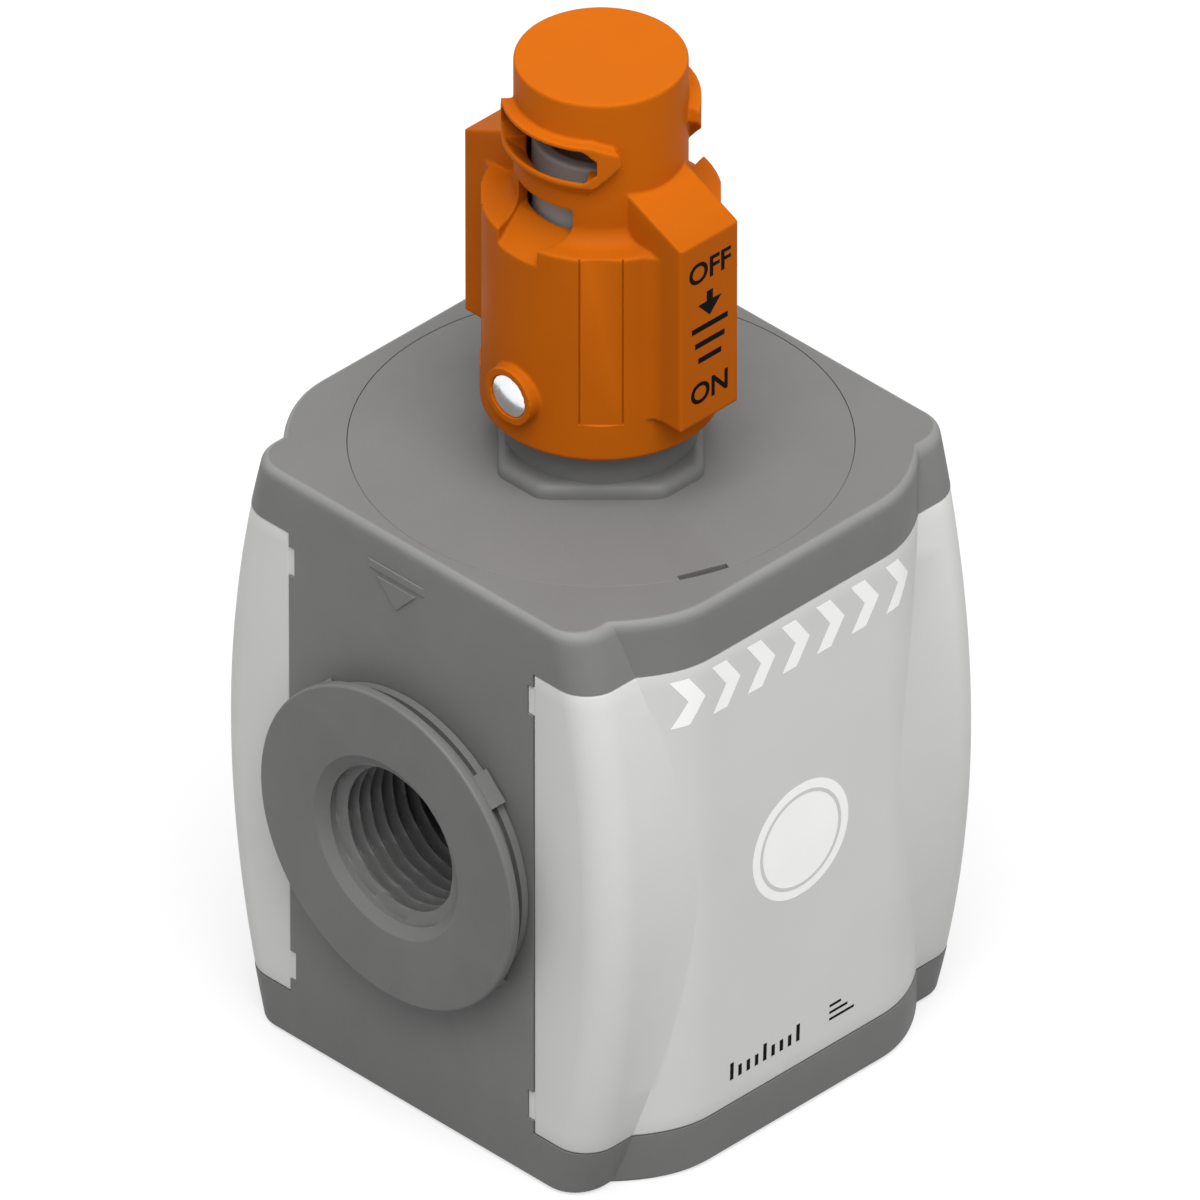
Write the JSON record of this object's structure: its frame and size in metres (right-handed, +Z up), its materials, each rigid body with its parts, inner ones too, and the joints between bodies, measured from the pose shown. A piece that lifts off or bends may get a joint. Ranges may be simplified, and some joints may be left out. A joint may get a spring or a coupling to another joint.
{
  "type": "pneumatic shut-off valve",
  "caption": "Block valve for compressed air with threaded ports on two sides, light covers and a lockable push-and-turn knob on top.",
  "frame": {"origin": "middle of the underside of the body", "axes": "+Z up along the knob and the plunger, -X at the inlet port, +X at the outlet port, -Y at the front cover"},
  "size_m": [0.07, 0.065, 0.1327],
  "materials": {
    "dark_polymer": "fine moulded texture, mid to dark grey",
    "light_polymer": "satin light grey",
    "orange_polymer": "satin signal orange",
    "column_polymer": "dark grey, smooth",
    "zinc": "die cast, coated grey",
    "brass": "turned",
    "steel": "ground",
    "rubber": "moulded"
  },
  "bodies": {
    "housing": {"body": "dark_polymer", "front_cover": "light_polymer", "rear_cover": "light_polymer", "inlet_flange": "zinc", "outlet_flange": "zinc", "inlet_flange_seal": "rubber", "outlet_flange_seal": "rubber", "bonnet": "dark_polymer", "bonnet_seal": "rubber", "rod_seal": "rubber", "guide_column": "column_polymer", "valve_seat": "brass", "seat_seal": "rubber", "seat_retainer": "dark_polymer", "exhaust_plug": "zinc", "plug_seal": "rubber", "guide_seal": "rubber", "poppet_spring": "steel", "plunger_spring": "steel"},
    "poppet": {"poppet": "brass", "poppet_seal": "rubber"},
    "plunger": {"plunger": "steel", "plunger_pad": "rubber"},
    "knob": {"knob": "orange_polymer", "bayonet_pin_left": "steel", "bayonet_pin_right": "steel", "crosshead": "brass"}
  },
  "joints": [
    {"name": "plunger_slide", "type": "slide", "parent": "housing", "child": "plunger", "axis": [0, 0, -1], "range_m": [0, 0.0046], "deforming": ["plunger_spring"]},
    {"name": "knob_turn", "type": "hinge", "parent": "plunger", "child": "knob", "pos_m": [0, 0, 0.0926], "axis": [0, 0, -1], "range_deg": [0, 90]},
    {"name": "poppet_slide", "type": "slide", "parent": "housing", "child": "poppet", "axis": [0, 0, -1], "range_m": [0, 0.0034], "deforming": ["poppet_spring"]}
  ],
  "couplings": [
    {"joint": "knob_turn", "follows": "plunger_slide", "rad_per_m": 341.4},
    {"joint": "poppet_slide", "follows": "plunger_slide", "ratio": 0.739}
  ]
}
